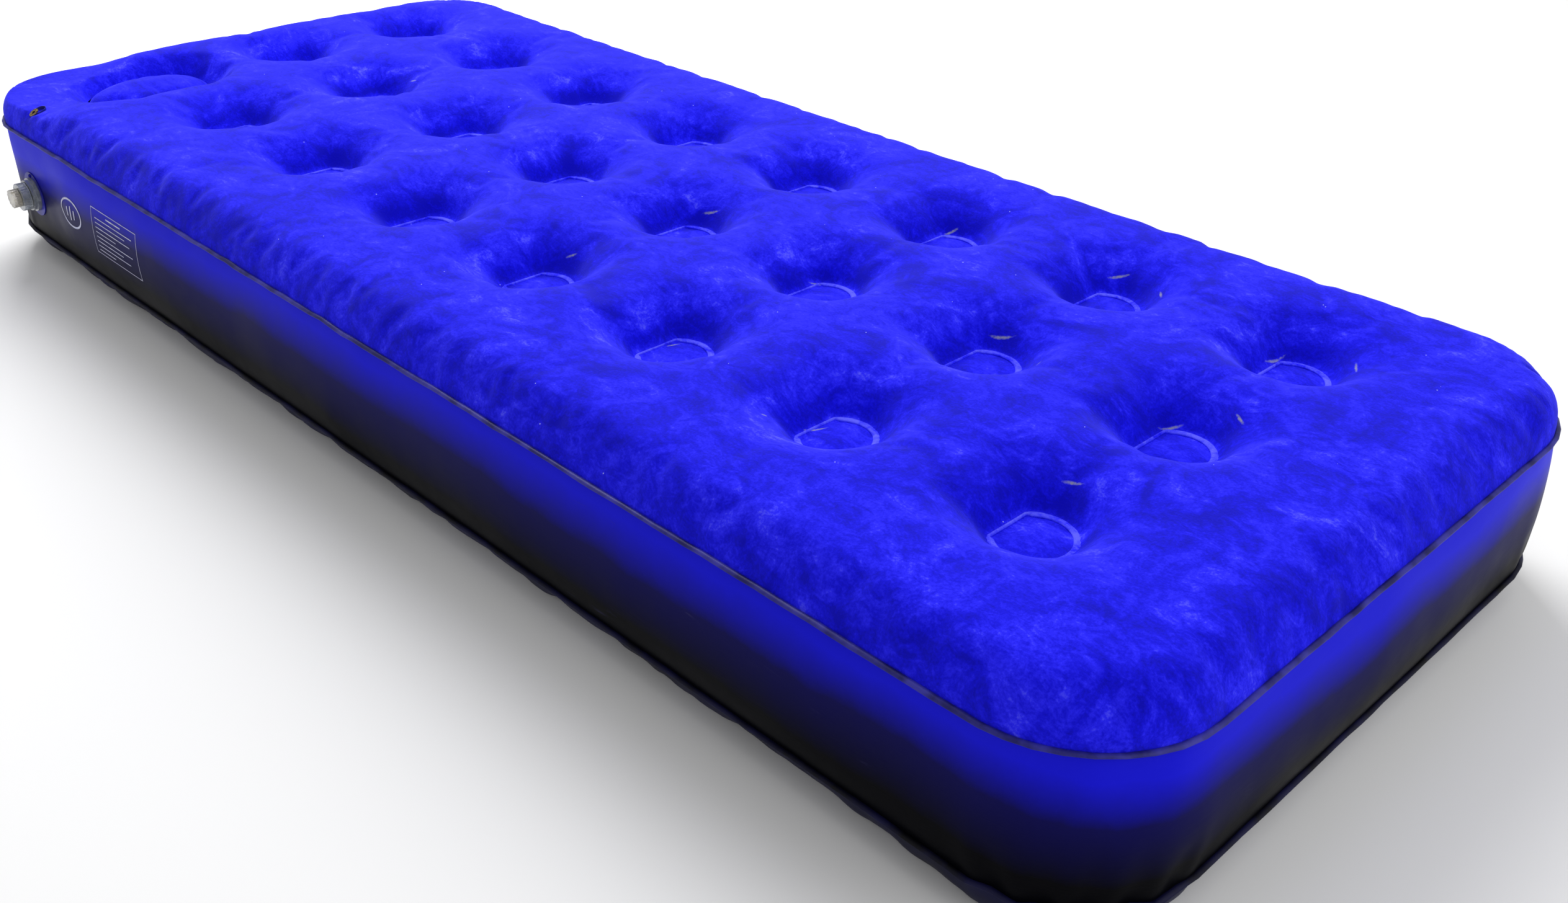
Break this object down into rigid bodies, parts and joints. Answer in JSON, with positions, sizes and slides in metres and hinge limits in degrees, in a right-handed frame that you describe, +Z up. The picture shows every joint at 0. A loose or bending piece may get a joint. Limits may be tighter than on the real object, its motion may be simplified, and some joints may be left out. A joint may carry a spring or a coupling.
{
  "type": "air mattress",
  "caption": "Single flocked air mattress held in shape by a grid of coil beams, with a screw valve in its side band and a built-in foot pump at the head end.",
  "frame": {"origin": "middle of the flat underside, on the plane that the bed lies on", "axes": "+X towards the foot end, +Y across the bed away from the valve side, +Z up"},
  "size_m": [1.892, 0.803, 0.216],
  "materials": {
    "flocked_film": "short velvet flock on PVC film",
    "side_film": "semi-gloss PVC film",
    "underside_film": "embossed PVC film",
    "weld_lip": "high-frequency weld",
    "coil_film": "PVC film",
    "inner_film": "PVC film",
    "pump_foam": "open-cell polyurethane foam",
    "eyelet_metal": "nickel-plated",
    "inner_moulding": "moulded clear PVC",
    "flap_rubber": "soft rubber sheet",
    "washer_rubber": "soft rubber",
    "valve_flange": "moulded soft PVC, welded",
    "clear_pvc": "moulded clear soft PVC",
    "clear_cap": "moulded clear PVC"
  },
  "bodies": {
    "mattress": {"bottom_panel": "underside_film", "bottom_seam_weld": "weld_lip", "coil_far_side_1": "coil_film", "coil_far_side_2": "coil_film", "coil_far_side_3": "coil_film", "coil_far_side_4": "coil_film", "coil_far_side_5": "coil_film", "coil_far_side_6": "coil_film", "coil_far_side_7": "coil_film", "coil_far_side_8": "coil_film", "coil_middle_1": "coil_film", "coil_middle_2": "coil_film", "coil_middle_3": "coil_film", "coil_middle_4": "coil_film", "coil_middle_5": "coil_film", "coil_middle_6": "coil_film", "coil_middle_7": "coil_film", "coil_middle_8": "coil_film", "coil_valve_side_2": "coil_film", "coil_valve_side_3": "coil_film", "coil_valve_side_4": "coil_film", "coil_valve_side_5": "coil_film", "coil_valve_side_6": "coil_film", "coil_valve_side_7": "coil_film", "coil_valve_side_8": "coil_film", "intake_duct": "inner_film", "intake_eyelet": "eyelet_metal", "intake_seat": "inner_moulding", "outlet_seat": "inner_moulding", "pump_foam": "pump_foam", "pump_pocket": "inner_film", "side_band": "side_film", "top_panel": "flocked_film", "top_seam_weld": "weld_lip", "valve_flange": "valve_flange", "valve_neck": "clear_pvc"},
    "pump_pad": {"pump_pad": "flocked_film"},
    "intake_flap": {"intake_flap": "flap_rubber"},
    "outlet_flap": {"outlet_flap": "flap_rubber"},
    "valve_washer": {"valve_washer": "washer_rubber"},
    "valve_body": {"valve_body": "clear_pvc"},
    "valve_flap": {"valve_flap": "flap_rubber"},
    "cap_washer": {"cap_washer": "washer_rubber"},
    "valve_cap": {"valve_cap": "clear_cap"}
  },
  "joints": [
    {"name": "pump_press", "type": "slide", "parent": "mattress", "child": "pump_pad", "axis": [0, 0, -1], "range_m": [0, 0.025], "stiffness_N_per_m": 3000, "deforming": ["pump_foam"]},
    {"name": "intake_flap_swing", "type": "hinge", "parent": "mattress", "child": "intake_flap", "pos_m": [-0.77, -0.3665, 0.1894], "axis": [-1, 0, 0], "range_deg": [0, 40], "stiffness_Nm_per_rad": 0.002},
    {"name": "outlet_flap_swing", "type": "hinge", "parent": "mattress", "child": "outlet_flap", "pos_m": [-0.806, -0.214, 0.1154], "axis": [-1, 0, 0], "range_deg": [0, 50], "stiffness_Nm_per_rad": 0.004},
    {"name": "valve_lift", "type": "slide", "parent": "mattress", "child": "valve_washer", "axis": [0, -1, 0], "range_m": [0, 0.0075]},
    {"name": "valve_unscrew", "type": "hinge", "parent": "valve_washer", "child": "valve_body", "pos_m": [-0.795, -0.398, 0.097], "axis": [0, -1, 0], "range_deg": [0, 900]},
    {"name": "valve_flap_swing", "type": "hinge", "parent": "valve_body", "child": "valve_flap", "pos_m": [-0.795, -0.3724, 0.108], "axis": [1, 0, 0], "range_deg": [0, 55], "stiffness_Nm_per_rad": 0.004},
    {"name": "cap_lift", "type": "slide", "parent": "valve_body", "child": "cap_washer", "axis": [0, -1, 0], "range_m": [0, 0.003]},
    {"name": "cap_unscrew", "type": "hinge", "parent": "cap_washer", "child": "valve_cap", "pos_m": [-0.795, -0.409, 0.097], "axis": [0, -1, 0], "range_deg": [0, 540]}
  ],
  "couplings": [
    {"joint": "valve_unscrew", "follows": "valve_lift", "rad_per_m": 2094.4},
    {"joint": "cap_unscrew", "follows": "cap_lift", "rad_per_m": 3141.6}
  ]
}
